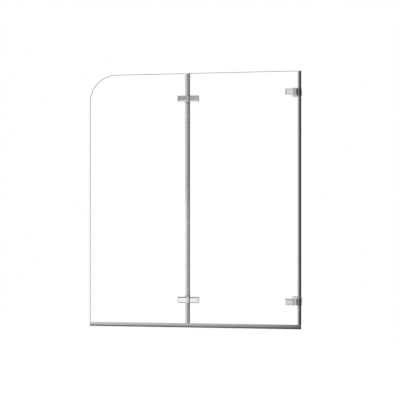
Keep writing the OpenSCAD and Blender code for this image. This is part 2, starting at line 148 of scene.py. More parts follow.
def material(name):
    """An empty node material, its tree and its object coordinates in metres."""
    made = bpy.data.materials.new(name)
    made.use_nodes = True
    made.node_tree.nodes.clear()
    coords = add(made.node_tree, "ShaderNodeTexCoord").outputs["Object"]
    return made, made.node_tree, coords


def close(made, shader):
    """Puts a shader on the material's surface."""
    add(made.node_tree, "ShaderNodeOutputMaterial", Surface=shader)
    return made


# ---------------------------------------------------------------- shapes

def rounded(corners, n=8):
    """Closed outline with round corners, as a function of how far its sides are moved inwards. Each row is
    (u, v, radius) or (u, v, radius, share), taken counter-clockwise; share scales the move of the side that
    leaves the corner. With unit vectors back and on along both sides and c = on x back, the corner moves to
    p + inset * (on * share before + back * share after) / c. It becomes an arc tangent to both sides: its
    centre lies on their bisector at radius / sin(half the corner's angle), and its n points are
    centre + radius * normal, or minus at an inward corner."""
    c = np.array([(*row, 1.0)[:4] for row in corners], float)
    p, r, after = c[:, :2], c[:, 2], c[:, 3, None]
    before = np.roll(after, 1, 0)
    back, on = np.roll(p, 1, 0) - p, np.roll(p, -1, 0) - p
    back /= np.linalg.norm(back, axis=1)[:, None]
    on /= np.linalg.norm(on, axis=1)[:, None]
    cross = (on[:, 0] * back[:, 1] - on[:, 1] * back[:, 0])[:, None]
    turn = np.sign(cross[:, 0])
    half = np.arccos(np.clip((back * on).sum(1), -1, 1)) / 2
    middle = (back + on) / np.linalg.norm(back + on, axis=1)[:, None]
    first = np.arctan2(back[:, 0], -back[:, 1])
    angle = first[:, None] + (turn * (math.pi - 2 * half))[:, None] * np.linspace(0, 1, n)
    normal = np.stack([np.cos(angle), np.sin(angle)], -1)

    def moved(inset):
        at = p + inset * (on * before + back * after) / cross
        bend = np.maximum(r - turn * inset * np.minimum(before, after)[:, 0], np.minimum(r, 0.3))
        centre = at + middle * (bend / np.sin(half))[:, None]
        return (centre[:, None] + (turn * bend)[:, None, None] * normal).reshape(-1, 2)

    return moved


def circle(u, v, r, n=48):
    """Round outline: (u, v) + (r - inset) * (cos t, sin t)."""
    t = np.linspace(0, 2 * math.pi, n, endpoint=False)
    return lambda inset: np.array([u, v]) + (r - inset) * np.stack([np.cos(t), np.sin(t)], -1)


def fixed(points):
    """Outline through the given points, which no inset moves."""
    return lambda inset: np.asarray(points, float)


def hole(outline):
    """The same outline as a hole: run backwards, and widened by its inset."""
    return lambda inset: outline(-inset)[::-1]


def plate(rims, order):
    """Closed solid between two flat faces. Each rim is (outline, profile): for each of the profile's rows
    (inset, w) the outline, moved in by inset, is a ring at the place w across the solid. The first and
    the last rings of all rims bound the two flat faces, filled between outline and holes. order names the
    axes of u, v and w."""
    verts, quads, ends, start = [], [], ([], []), 0
    for outline, profile in rims:
        rows = np.asarray(profile, float)
        uv = np.stack([outline(inset) for inset in rows[:, 0]])
        m, k = uv.shape[:2]
        w = np.broadcast_to(rows[:, 1, None, None], (m, k, 1))
        verts.append(np.concatenate([uv, w], 2).reshape(-1, 3))
        i = start + np.arange(m * k).reshape(m, k)
        j = np.roll(i, -1, 1)
        quads.append(np.stack([i[:-1], j[:-1], j[1:], i[1:]], -1).reshape(-1, 4))
        ends[0].append(i[0])
        ends[1].append(i[-1])
        start += m * k
    verts, caps = np.concatenate(verts), []
    for loops, sign in zip(ends, (-1, 1)):
        index = np.concatenate(loops)
        fill = index[np.array(tessellate_polygon([verts[loop].tolist() for loop in loops]))]
        a, b, c = (verts[fill[:, i], :2] for i in range(3))
        area = (b - a)[:, 0] * (c - a)[:, 1] - (b - a)[:, 1] * (c - a)[:, 0]
        caps.append(np.where((area * sign > 0)[:, None], fill, fill[:, ::-1]))
    return verts[:, [order.index(a) for a in "xyz"]], np.concatenate(quads), np.concatenate(caps)


def lathe(section, x, y, n=72):
    """Solid turned about the upright line through (x, y): the closed outline of (radius, height) rows is
    carried round as (x + r cos t, y + r sin t, h)."""
    t = np.linspace(0, 2 * math.pi, n, endpoint=False)[:, None]
    r, h = section[None, :, 0], section[None, :, 1]
    verts = np.stack([x + r * np.cos(t), y + r * np.sin(t), h + 0 * t], -1)
    i = np.arange(verts[..., 0].size).reshape(verts.shape[:2])
    j, k = np.roll(i, -1, 0), np.roll(i, -1, 1)
    quads = np.stack([i, j, np.roll(j, -1, 1), k], -1).reshape(-1, 4)
    return verts.reshape(-1, 3), quads, np.zeros((0, 3), int)


def cove(x, y, r, face_y, side, f, z0, z1):
    """Fillet of radius f between a round of radius r about (x, y) and the flat y = face_y, on the -Y
    side. Its centre is f off the flat and r + f from the round's axis."""
    cy = face_y - f
    cx = x + side * math.sqrt((r + f) ** 2 - (cy - y) ** 2)
    to_round = math.atan2(y - cy, x - cx)
    to_flat = math.pi / 2
    if to_round < 0:
        to_round += 2 * math.pi
    angle = np.linspace(to_flat, to_round, 10)
    arc = np.stack([cx + f * np.cos(angle), cy + f * np.sin(angle)], -1)
    deep = np.array([x, y]) + (r - 1.0) / (r + f) * np.array([cx - x, cy - y])
    points = np.concatenate([arc, [deep], [[cx, face_y + 1.0]]])
    return plate([(fixed(points), [(0, z0), (0, z1)])], "xyz")


def placed(shell, flip=False, z=0.0):
    """The shell turned over in height if asked, and moved up by z."""
    verts, quads, tris = shell
    return verts * [1, 1, -1 if flip else 1] + [0, 0, z], quads, tris


def raw_object(name, shell):
    """A mesh object in millimetres from a closed shell, its faces turned outwards: a negative sum of
    a . (b x c) over its triangles means that it is inside out."""
    verts, quads, tris = shell
    t = np.concatenate([quads[:, [0, 1, 2]], quads[:, [0, 2, 3]], tris])
    a, b, c = verts[t[:, 0]], verts[t[:, 1]], verts[t[:, 2]]
    if (a * np.cross(b, c)).sum() < 0:
        quads, tris = quads[:, ::-1], tris[:, ::-1]
    mesh = bpy.data.meshes.new(name)
    mesh.from_pydata(verts.tolist(), [], quads.tolist() + tris.tolist())
    obj = bpy.data.objects.new(name, mesh)
    bpy.context.scene.collection.objects.link(obj)
    return obj


def fuse(name, shells, cuts=()):
    """One closed mesh: the union of the shells, less the cuts."""
    base = raw_object(name + "_raw", shells[0])
    tools = []
    for i, shell in enumerate([*shells[1:], *cuts]):
        tools.append(raw_object(f"{name}_tool{i}", shell))
        step = base.modifiers.new(tools[-1].name, "BOOLEAN")
        step.solver = "EXACT"
        step.operation = "UNION" if i < len(shells) - 1 else "DIFFERENCE"
        step.object = tools[-1]
    seen = base.evaluated_get(bpy.context.evaluated_depsgraph_get())
    mesh = bpy.data.meshes.new_from_object(seen)
    for tool in [base, *tools]:
        bpy.data.objects.remove(tool)
    return mesh


def piece(name, shape, body, node, materials, sharp=32):
    """Makes a shell or a fused mesh a finished piece in metres that rides on a body in its node's place.
    A second material goes on the rims of a plate, and on a fused mesh's face against the wall."""
    if isinstance(shape, tuple):
        raw = raw_object(name + "_raw", shape)
        mesh = raw.data
        bpy.data.objects.remove(raw)
    else:
        mesh = shape
    mesh.name = name
    co = np.zeros(len(mesh.vertices) * 3, np.float32)
    mesh.vertices.foreach_get("co", co)
    mesh.vertices.foreach_set("co", co * MM)
    centre, normal = (np.zeros(len(mesh.polygons) * 3, np.float32) for _ in range(2))
    mesh.polygons.foreach_get("center", centre)
    mesh.polygons.foreach_get("normal", normal)
    for made in materials:
        mesh.materials.append(made)
    if len(materials) > 1:
        if isinstance(shape, tuple):
            second = np.arange(len(mesh.polygons)) < len(shape[1])
        else:
            second = (normal[::3] > 0.99) & (centre[::3] > -0.01)
        mesh.polygons.foreach_set("material_index", second.astype(np.int32))
    mesh.shade_smooth()
    square = np.abs(normal.reshape(-1, 3)).max(1) > 0.99999
    mesh.polygons.foreach_set("use_smooth", ~square)
    mesh.set_sharp_from_angle(angle=math.radians(sharp))
    mesh.update()
    if mesh.validate():
        raise RuntimeError(f"{name} has faces that don't hold")
    obj = bpy.data.objects.new(name, mesh)
    bpy.context.scene.collection.objects.link(obj)
    soften = obj.modifiers.new("large faces stay flat", "WEIGHTED_NORMAL")
    soften.keep_sharp = True
    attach(obj, body)
    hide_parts(node)
    return obj


# ---------------------------------------------------------------- materials

def toughened_glass():
    """Clear float glass, toughened: it shows what is behind it, a faint mirror of the room, and a roller
    wave from the furnace, a swell about 280 mm long that bends reflections slightly."""
    made, tree, coords = material("toughened float glass, clear")
    wave = add(tree, "ShaderNodeTexNoise", Vector=coords, Scale=1 / 0.28, Detail=1.0)
    bump = add(tree, "ShaderNodeBump", Height=wave.outputs[0], Strength=0.04, Distance=0.0004)
    tint = (*bpy.context.scene.bath_screen.glass_tint, 1.0)
    glass = add(tree, "ShaderNodeBsdfPrincipled", Base_Color=tint, Roughness=0.0, IOR=1.52,
                Transmission_Weight=1.0, Normal=bump.outputs[0])
    path = add(tree, "ShaderNodeLightPath")
    clear = add(tree, "ShaderNodeBsdfTransparent", Color=linear("#F4F8F6"))
    mix = add(tree, "ShaderNodeMixShader", Fac=path.outputs["Is Shadow Ray"], i1=glass.outputs[0],
              i2=clear.outputs[0])
    return close(made, mix.outputs[0])


def glass_edge():
    """The same glass where it was ground. Its colour holds a painted shade: dark grey on both arrises, for
    the light that they turn away, and paler and greener on the polished flat between them. The wheel's marks
    are drawn 1.5 mm across."""
    made, tree, coords = material("float glass edge, ground and polished")
    across = add(tree, "ShaderNodeSeparateXYZ", Vector=coords).outputs[1]
    depth = add(tree, "ShaderNodeMath", {"operation": "ABSOLUTE"}, i0=across)
    # painted shade: dark grey on the arrises, paler and greener on the flat between them
    ground = colour_along(tree, depth.outputs[0], [(0.0012, linear("#7E928A")), (0.0017, linear("#2A302E"))])
    marks = add(tree, "ShaderNodeTexNoise", Vector=coords, Scale=1 / 0.0015, Detail=4.0)
    rough = add(tree, "ShaderNodeMapRange", Value=marks.outputs[0], i1=0.3, i2=0.7, i3=0.12, i4=0.3)
    tone = add(tree, "ShaderNodeMix", {"data_type": "RGBA"}, Factor=marks.outputs[0],
               A_Color=ground, B_Color=linear("#3C4341"))
    bump = add(tree, "ShaderNodeBump", Height=marks.outputs[0], Strength=0.1, Distance=0.0001)
    glass = add(tree, "ShaderNodeBsdfPrincipled", Base_Color=tone.outputs["Result"],
                Roughness=rough.outputs[0], IOR=1.52, Transmission_Weight=0.1, Normal=bump.outputs[0])
    path = add(tree, "ShaderNodeLightPath")
    clear = add(tree, "ShaderNodeBsdfTransparent", Color=linear("#E6ECEA"))
    mix = add(tree, "ShaderNodeMixShader", Fac=path.outputs["Is Shadow Ray"], i1=glass.outputs[0],
              i2=clear.outputs[0])
    return close(made, mix.outputs[0])


def polished_chrome(name="chrome plate, polished", shade=None):
    """Chrome plate over a buffed casting: a clear mirror with the plating's slight orange peel, 1.5 mm
    across, and patches where wiping has dulled it, about 12 mm across. shade is a list of stops
    (X in mm, share) that scale its colour along X: a painted shade, where one is given."""
    made, tree, coords = material(name)
    look = bpy.context.scene.bath_screen
    wiped = add(tree, "ShaderNodeTexNoise", Vector=coords, Scale=1 / 0.012, Detail=5.0, Roughness=0.6)
    rough = add(tree, "ShaderNodeMapRange", Value=wiped.outputs[0], i1=0.35, i2=0.7,
                i3=look.chrome_roughness * 0.7, i4=look.chrome_roughness * 1.8)
    peel = add(tree, "ShaderNodeTexNoise", Vector=coords, Scale=1 / 0.0015, Detail=1.0)
    bump = add(tree, "ShaderNodeBump", Height=peel.outputs[0], Strength=0.05, Distance=0.00003)
    colour = tuple(look.chrome_colour) + (1,)
    # painted shade, where stops are given: the chrome's colour scaled by place along X
    if shade:
        place = add(tree, "ShaderNodeSeparateXYZ", Vector=coords).outputs[0]
        stops = [(x * MM, (*(c * share for c in colour[:3]), 1.0)) for x, share in shade]
        colour = colour_along(tree, place, stops)
    chrome = add(tree, "ShaderNodeBsdfPrincipled", Base_Color=colour, Metallic=1.0,
                 Roughness=rough.outputs[0], Normal=bump.outputs[0])
    return close(made, chrome.outputs[0])


def bracket_chrome():
    """Chrome on a bracket, with a painted shade and reflection: darkened beside the barrel and the wall, for
    the shaded joints that a mirror would show there. It is drawn by place, for one view, and stays in every
    other."""
    # painted shade: the chrome's colour scaled down by place beside the barrel and the wall
    shade = [(-22, 1.0), (-19.5, 0.15), (-18.5, 0.15), (-16.5, 0.45), (-13, 0.36), (-10.5, 0.09),
             (-8.6, 0.05), (-7.4, 0.8), (-5.3, 0.8), (-4.8, 0.03), (-0.4, 0.02)]
    return polished_chrome("chrome plate, dark in the joints", shade)


def fold_chrome():
    """Chrome on a fold leaf, with a painted shade: a dark stripe drawn by place in the corner between its
    plate and the +X side of the knuckles."""
    # painted shade: a dark stripe in the corner beside the knuckles
    shade = [(FOLD_X + 6.5, 1.0), (FOLD_X + 7.5, 0.2), (FOLD_X + 10.5, 0.2), (FOLD_X + 11.5, 1.0)]
    return polished_chrome("chrome plate, dark beside the knuckles", shade)


def barrel_chrome():
    """Chrome on the lower wall leaf, with a painted shade: drawn darker by place on the -X half of its
    barrel.
    The upper leaf has plain chrome there."""
    # painted shade: the lower barrel's chrome darkened by place
    shade = [(-46.5, 1.0), (-45, 0.6), (-31, 0.66), (-29, 1.0)]
    return polished_chrome("chrome plate, duller on the barrel", shade)


def bracket_seat():
    """A bracket's face on the wall: unplated casting with a painted shade, dark towards -Y and pale behind,
    the edge between them broken in clouds about 6 mm across; its grain is about 0.5 mm across."""
    made, tree, coords = material("casting, unplated seat")
    place = add(tree, "ShaderNodeSeparateXYZ", Vector=coords).outputs[1]
    cloud = add(tree, "ShaderNodeTexNoise", Vector=coords, Scale=1 / 0.006, Detail=4.0)
    drift = add(tree, "ShaderNodeMath", {"operation": "MULTIPLY_ADD"}, i0=cloud.outputs[0], i1=0.016,
                i2=place)
    # painted shade: dark towards -Y, pale behind, its edge moved by the clouds
    tone = colour_along(tree, drift.outputs[0], [(0.0, linear("#121314")), (0.006, linear("#6A6B6C")),
                                                 (0.02, linear("#C4C5C6"))])
    grain = add(tree, "ShaderNodeTexNoise", Vector=coords, Scale=1 / 0.0005, Detail=2.0)
    bump = add(tree, "ShaderNodeBump", Height=grain.outputs[0], Strength=0.2, Distance=0.00003)
    metal = add(tree, "ShaderNodeBsdfPrincipled", Base_Color=tone, Roughness=0.6, Specular_IOR_Level=0.1,
                Normal=bump.outputs[0])
    return close(made, metal.outputs[0])


def stainless_steel():
    """Turned stainless steel: duller than the chrome, with tool marks about 0.4 mm apart."""
    made, tree, coords = material("stainless steel, turned")
    marks = add(tree, "ShaderNodeTexNoise", Vector=coords, Scale=1 / 0.0004, Detail=2.0)
    rough = add(tree, "ShaderNodeMapRange", Value=marks.outputs[0], i1=0.3, i2=0.7, i3=0.2, i4=0.36)
    bump = add(tree, "ShaderNodeBump", Height=marks.outputs[0], Strength=0.2, Distance=0.00003)
    steel = add(tree, "ShaderNodeBsdfPrincipled", Base_Color=linear("#B8B7B3"), Metallic=1.0,
                Roughness=rough.outputs[0], Normal=bump.outputs[0])
    return close(made, steel.outputs[0])


def black_steel():
    """Blackened steel: a satin oxide skin, slightly worn to grey in spots about 1 mm across."""
    made, tree, coords = material("steel, blackened")
    worn = add(tree, "ShaderNodeTexNoise", Vector=coords, Scale=1 / 0.001, Detail=3.0)
    tone = add(tree, "ShaderNodeMix", {"data_type": "RGBA"}, Factor=worn.outputs[0],
               A_Color=linear("#1A1B1C"), B_Color=linear("#3A3B3C"))
    steel = add(tree, "ShaderNodeBsdfPrincipled", Base_Color=tone.outputs["Result"], Metallic=0.6,
                Roughness=0.45)
    return close(made, steel.outputs[0])


def white_nylon():
    """Moulded nylon: milky white with a fine spark-eroded grain, 0.6 mm across."""
    made, tree, coords = material("nylon, moulded, white")
    grain = add(tree, "ShaderNodeTexNoise", Vector=coords, Scale=1 / 0.0006, Detail=2.0)
    tone = add(tree, "ShaderNodeMix", {"data_type": "RGBA"}, Factor=grain.outputs[0],
               A_Color=linear("#E4E3DE"), B_Color=linear("#F0EFEA"))
    bump = add(tree, "ShaderNodeBump", Height=grain.outputs[0], Strength=0.2, Distance=0.00004)
    nylon = add(tree, "ShaderNodeBsdfPrincipled", Base_Color=tone.outputs["Result"], Roughness=0.42, IOR=1.53,
                Normal=bump.outputs[0])
    return close(made, nylon.outputs[0])


def clear_silicone():
    """Punched silicone sheet: soft, hazy and slightly cloudy, in clouds about 8 mm across."""
    made, tree, coords = material("silicone sheet, clear")
    cloud = add(tree, "ShaderNodeTexNoise", Vector=coords, Scale=1 / 0.008, Detail=3.0)
    tone = add(tree, "ShaderNodeMix", {"data_type": "RGBA"}, Factor=cloud.outputs[0],
               A_Color=linear("#C6CACA"), B_Color=linear("#DDE0E0"))
    sheet = add(tree, "ShaderNodeBsdfPrincipled", Base_Color=tone.outputs["Result"], Roughness=0.4, IOR=1.41,
                Transmission_Weight=0.5)
    return close(made, sheet.outputs[0])


def cut_pvc():
    """Soft PVC where a seal was sawn to length: dull and dark, with saw marks about 0.7 mm apart."""
    made, tree, coords = material("soft PVC, cut end")
    marks = add(tree, "ShaderNodeTexNoise", Vector=coords, Scale=1 / 0.0007, Detail=2.0)
    tone = add(tree, "ShaderNodeMix", {"data_type": "RGBA"}, Factor=marks.outputs[0],
               A_Color=linear("#2E3032"), B_Color=linear("#4A4C4E"))
    bump = add(tree, "ShaderNodeBump", Height=marks.outputs[0], Strength=0.2, Distance=0.00005)
    pvc = add(tree, "ShaderNodeBsdfPrincipled", Base_Color=tone.outputs["Result"], Roughness=0.7, IOR=1.53,
              Specular_IOR_Level=0.1, Normal=bump.outputs[0])
    return close(made, pvc.outputs[0])


def seal_pvc(name, axis, stops, along, painted_light_and_shade=(), gloss=0.5):
    """Extruded soft PVC, smoke-clear: pale where it lies on the glass and darker where the hollow bulb or
    the lips fold it double, with painted shade on top, darker towards the foot of a drip seal and towards
    the wall on the upright ones. stops are (place in mm, hex colour) across the profile on an axis; the die
    leaves fine lines about 0.8 mm apart along the other axis, and the melt clouds of about 25 mm. The
    lengthwise shares, (place in mm, share) along the seal, are painted light and shade: they scale the
    colour by place, to match the light of one view. A real seal has one colour throughout."""
    made, tree, coords = material(name)
    parts = add(tree, "ShaderNodeSeparateXYZ", Vector=coords)
    place = parts.outputs["XYZ".index(axis)]
    # across the profile: the seal's own pale and grey, with painted shade darker downwards and towards the
    # wall
    tone = colour_along(tree, place, [(at * MM, linear(colour)) for at, colour in stops])
    stretch = [0.004 if a == along else 1.0 for a in "XYZ"]
    mapping = add(tree, "ShaderNodeMapping", Vector=coords, Scale=stretch)
    lines = add(tree, "ShaderNodeTexNoise", Vector=mapping.outputs[0], Scale=1 / 0.0008, Detail=2.0)
    cloud = add(tree, "ShaderNodeTexNoise", Vector=coords, Scale=1 / 0.025, Detail=3.0)
    veil = add(tree, "ShaderNodeMapRange", Value=cloud.outputs[0], i1=0.3, i2=0.7, i3=0.985, i4=1.015)
    shade = add(tree, "ShaderNodeVectorMath", {"operation": "SCALE"}, Vector=tone, Scale=veil.outputs[0])
    # painted light and shade along the seal
    if painted_light_and_shade:
        length = parts.outputs["XYZ".index(along)]
        share = colour_along(tree, length, greys(*((at * MM, part) for at, part in painted_light_and_shade)))
        shade = add(tree, "ShaderNodeVectorMath", {"operation": "MULTIPLY"}, i0=shade.outputs[0], i1=share)
    bump = add(tree, "ShaderNodeBump", Height=lines.outputs[0], Strength=0.1, Distance=0.00005)
    rough = add(tree, "ShaderNodeMapRange", Value=cloud.outputs[0], i1=0.3, i2=0.7, i3=0.22, i4=0.34)
    pvc = add(tree, "ShaderNodeBsdfPrincipled", Base_Color=shade.outputs[0], Roughness=rough.outputs[0],
              IOR=1.53, Transmission_Weight=0.12, Specular_IOR_Level=gloss, Normal=bump.outputs[0])
    return close(made, pvc.outputs[0])


# ---------------------------------------------------------------- the pieces

def edge_profile(back, front):
    """Rows (inset, w) of a clamp plate's edge from its back face to its front face: a small break, a flat
    side of 2 mm, a rim bevelled 2 mm at 45 degrees and a shallow bevel 5.5 mm wide and 1 mm deep, with
    every ridge eased."""
    s = 1 if front > back else -1
    rows = [(0.35, 0.0), (0.1, 0.1), (0.0, 0.35), (0.0, 1.7), (0.05, 1.95), (0.25, 2.25), (1.75, 3.75),
            (1.95, 3.93), (2.3, 4.055), (7.1, 4.93), (7.4, 4.97), (7.8, 5.0)]
    return [(inset, back + s * w) for inset, w in rows]


def sink(front, s):
    """Rows (inset, w) of a countersunk screw hole: straight from the clamp face, then opening at 45
    degrees to the plate's front."""
    return [(0.0, s * CLAMP_Y), (0.0, front - s * 2.1), (2.05, front - s * 0.05), (2.15, front)]


class SCREEN_OT_glass(bpy.types.Operator):
    """Makes the two panes of toughened glass, with their notches, screw holes and ground edges"""
    bl_idname = "bath_screen.glass"
    bl_label = "Glass Panes"

    def execute(self, context):
        look = context.scene.bath_screen
        a = look.arris / MM
        rim = a + look.edge_line / MM
        g, chamfer, r = HALF_GLASS, 0.5, 1.6
        edge = [(rim, -g), (a, -g), (0, a - g), (0, g - a), (a, g), (rim, g)]
        bore = [(chamfer, -g), (0, chamfer - g), (0, g - chamfer), (chamfer, g)]
        x0, x1 = INNER_X
        corners = [(x0, PANE_Z, r), (x1, PANE_Z, r)]
        for u in ("lower", "upper"):
            z = BRACKET_Z[u]
            # the side of a notch that faces away from the screen's middle is ground less, to match its line
            under, over = (0.3, 1.0) if u == "lower" else (1.0, 0.3)
            corners += [(x1, z - NOTCH_H, r, under), (NOTCH_X, z - NOTCH_H, NOTCH_R),
                        (NOTCH_X, z + NOTCH_H, NOTCH_R, over), (x1, z + NOTCH_H, r)]
        corners += [(x1, TOP_Z, r), (x0, TOP_Z, r)]
        holes = [(x, LEAF_Z[u]) for u in LEAF_Z for x in WALL_SCREW_X]
        holes += [(FOLD_X + d, FOLD_Z[u]) for u in FOLD_Z for d in FOLD_SCREW_D]
        rims = [(rounded(corners, 10), edge)] + [(hole(circle(x, z, SCREW_HOLE_R)), bore) for x, z in holes]
        finish = [toughened_glass(), glass_edge()]
        piece("inner_pane", plate(rims, "xzy"), "inner_leaf", "inner_glass", finish)
        x0, x1 = OUTER_X
        corners = [(x0, PANE_Z, r), (x1, PANE_Z, r), (x1, TOP_Z, r), (x0, TOP_Z, CORNER_R)]
        holes = [(FOLD_X - d, FOLD_Z[u]) for u in FOLD_Z for d in FOLD_SCREW_D]
        rims = [(rounded(corners, 72), edge)] + [(hole(circle(x, z, SCREW_HOLE_R)), bore) for x, z in holes]
        piece("outer_pane", plate(rims, "xzy"), "outer_leaf", "outer_glass", finish)
        return {"FINISHED"}


class SCREEN_OT_brackets(bpy.types.Operator):
    """Makes the two wall brackets: wall plate, web and the ear that carries the swing pin"""
    bl_idname = "bath_screen.brackets"
    bl_label = "Wall Brackets"

    def execute(self, context):
        half, z0, ear, ear_r = BRACKET_HALF, -BRACKET_HALF, 8.0, 9.0
        box = [(-24, -half, 3), (24, -half, 3), (24, half, 3), (-24, half, 3)]
        t = np.linspace(0, math.pi / 2, 6)
        edge = [(0.25, 0.0), (0.0, -0.25)]
        edge += [(1.2 * (1 - math.cos(a)), -5 + 1.2 * (1 - math.sin(a))) for a in t]
        bolt = [(0.0, 0.0), (0.0, -2.55), (2.35, -4.9), (2.6, -5.0)]
        rims = [(rounded(box), edge)] + [(hole(circle(s * 17.5, 0, 2.75)), bolt) for s in (-1, 1)]
        wall = plate(rims, "yzx")
        k, j = z0 + 0.06, z0 + ear - 0.03
        side = [(-27.5, k, 0.9), (-2.5, k, 0.9), (-2.5, -k, 0.9), (-18.9, -k, 0.9), (-18.9, j, 2.0),
                (-27.5, j, 0.9)]
        web_edge = [(0.8, -8), (0.23, -7.77), (0, -7.2), (0, 7.2), (0.23, 7.77), (0.8, 8)]
        web = plate([(rounded(side), web_edge)], "xzy")
        turn = rounded([(4.03, z0 + 0.02, 0.2), (ear_r - 1.5, z0 + 0.02, 0.4), (ear_r, z0 + 1.5, 0.6),
                        (ear_r, z0 + ear, 0.5), (4.03, z0 + ear, 0.2)])(0)
        shells = [wall, web, lathe(turn, SWING_X, 0.0)]
        for s in (-1, 1):
            arc = np.linspace(0, math.pi / 2, 8)
            bend = np.stack([-7.47 + 2.5 * np.cos(arc), s * (10.47 - 2.5 * np.sin(arc))], -1)
            points = np.concatenate([[(-4.4, s * 10.47)], bend, [(-7.47, s * 7.3), (-4.4, s * 7.3)]])
            points = points[::s]
            shells.append(plate([(fixed(points), [(0, z0 + 0.9), (0, -z0 - 0.9)])], "xyz"))
        grub = plate([(circle(SWING_X, z0 + ear / 2, 2.53, 32), [(0, 4.5), (0, 10.0)])], "xzy")
        finish = [bracket_chrome(), bracket_seat()]
        for u in ("upper", "lower"):
            flip = u == "lower"
            mesh = fuse(u + "_bracket", [placed(s, flip, BRACKET_Z[u]) for s in shells],
                        [placed(grub, flip, BRACKET_Z[u])])
            piece(u + "_bracket_casting", mesh, "wall_side", u + "_wall_bracket", finish)
        return {"FINISHED"}


class SCREEN_OT_wall_leaves(bpy.types.Operator):
    """Makes the two wall leaves: a bevelled plate on the glass and the barrel that turns on the pin"""
    bl_idname = "bath_screen.wall_leaves"
    bl_label = "Wall Leaves"

    def execute(self, context):
        look = context.scene.bath_screen
        e, f = look.casting_edge / MM, look.cove / MM
        x0, x1, h = span("upper_wall_leaf", "x")[0], SWING_X - 4.0, LEAF_HALF
        k = h - 0.03
        box = [(x0, -k, 3), (x1, -k, 0.5, UNBEVELLED), (x1, k, 0.5), (x0, k, 3)]
        front = plate([(rounded(box), edge_profile(-CLAMP_Y, -PLATE_Y))], "xzy")
        turn = rounded([(6.06, -h, 0.3), (BARREL_R, -h, e), (BARREL_R, h, e), (6.06, h, 0.3)])(0)
        fillet = cove(SWING_X, 0, BARREL_R, -PLATE_Y, -1, f, 7.9 - h, h - 7.9)
        shells = [front, lathe(turn, SWING_X, 0.0), fillet]
        for u, finish in (("upper", polished_chrome()), ("lower", barrel_chrome())):
            mesh = fuse(u + "_leaf", [placed(s, False, LEAF_Z[u]) for s in shells])
            piece(u + "_wall_leaf_casting", mesh, "inner_leaf", u + "_wall_leaf", [finish])
        return {"FINISHED"}


class SCREEN_OT_fold_leaves(bpy.types.Operator):
    """Makes the four fold leaves, whose knuckles interleave on the fold pins"""
    bl_idname = "bath_screen.fold_leaves"
    bl_label = "Fold Leaves"

    def execute(self, context):
        look = context.scene.bath_screen
        f = look.cove / MM
        h, reach, room, mid, gap = LEAF_HALF, 61.0, 9.5, 6.5, 7.25
        edge = edge_profile(-CLAMP_Y, -PLATE_Y)
        k = h - 0.03
        inner = [(3.6, -k, 0.5), (reach, -k, 3), (reach, k, 3), (3.6, k, 0.5, UNBEVELLED),
                 *((x, z, 0.4, UNBEVELLED) for x, z in ((3.6, gap + 0.02), (room, gap + 0.02),
                                                        (room, -gap - 0.02), (3.6, -gap - 0.02)))]
        outer = [(-reach, -k, 3), (-room, -k, 0.5, UNBEVELLED),
                 *((x, z, 0.4, UNBEVELLED) for x, z in ((-room, -mid + 0.02), (-5.25, -mid + 0.02),
                                                        (-5.25, mid - 0.02), (-room, mid - 0.02))),
                 (-room, k, 0.5), (-reach, k, 3)]
        shells = {"inner": [], "outer": []}
        for side, corners in (("inner", inner), ("outer", outer)):
            rows = [(c[0] + FOLD_X, *c[1:]) for c in corners]
            shells[side].append(plate([(rounded(rows), edge)], "xzy"))
        for z0, z1 in ((-h, -gap), (gap, h)):
            turn = rounded([(3.03, z0, 0.2), (KNUCKLE_R, z0, 0.7), (KNUCKLE_R, z1, 0.7), (3.03, z1, 0.2)])(0)
            shells["inner"].append(lathe(turn, FOLD_X, FOLD_Y))
            ends = sorted((math.copysign(gap + 0.7, z0), math.copysign(h - 7.9, z0)))
            shells["inner"].append(cove(FOLD_X, FOLD_Y, KNUCKLE_R, -PLATE_Y, 1, f, *ends))
        turn = rounded([(5.06, -mid, 0.2), (KNUCKLE_R, -mid, 0.7), (KNUCKLE_R, mid, 0.7),
                        (5.06, mid, 0.2)])(0)
        shells["outer"].append(lathe(turn, FOLD_X, FOLD_Y))
        shells["outer"].append(cove(FOLD_X, FOLD_Y, KNUCKLE_R, -PLATE_Y, -1, f, 0.6 - mid, mid - 0.6))
        finish = fold_chrome()
        for u in ("upper", "lower"):
            for side in ("inner", "outer"):
                name = f"{u}_fold_{side}_leaf"
                mesh = fuse(name, [placed(s, False, FOLD_Z[u]) for s in shells[side]])
                piece(name + "_casting", mesh, side + "_leaf", name, [finish])
        return {"FINISHED"}


class SCREEN_OT_back_plates(bpy.types.Operator):
    """Makes the bevelled plates behind the glass, countersunk for the clamp screws"""
    bl_idname = "bath_screen.back_plates"
    bl_label = "Back Plates"

    def execute(self, context):
        inner_screws = [FOLD_X + d for d in FOLD_SCREW_D]
        outer_screws = [FOLD_X - d for d in FOLD_SCREW_D]
        for u in ("upper", "lower"):
            rows = [(f"{u}_wall_back_plate", LEAF_Z[u], WALL_SCREW_X, "inner_leaf"),
                    (f"{u}_fold_inner_back_plate", FOLD_Z[u], inner_screws, "inner_leaf"),
                    (f"{u}_fold_outer_back_plate", FOLD_Z[u], outer_screws, "outer_leaf")]
            for node, z, screws, body in rows:
                (x0, x1), (z0, z1) = span(node, "x"), span(node, "z")
                box = rounded([(x0, z0, 3), (x1, z0, 3), (x1, z1, 3), (x0, z1, 3)])
                rims = [(box, edge_profile(CLAMP_Y, PLATE_Y))]
                rims += [(hole(circle(x, z, 2.6)), sink(PLATE_Y, 1)) for x in screws]
                shell = plate(rims, "xzy")
                piece(node + "_bevelled", shell, body, node, [polished_chrome()])
        return {"FINISHED"}


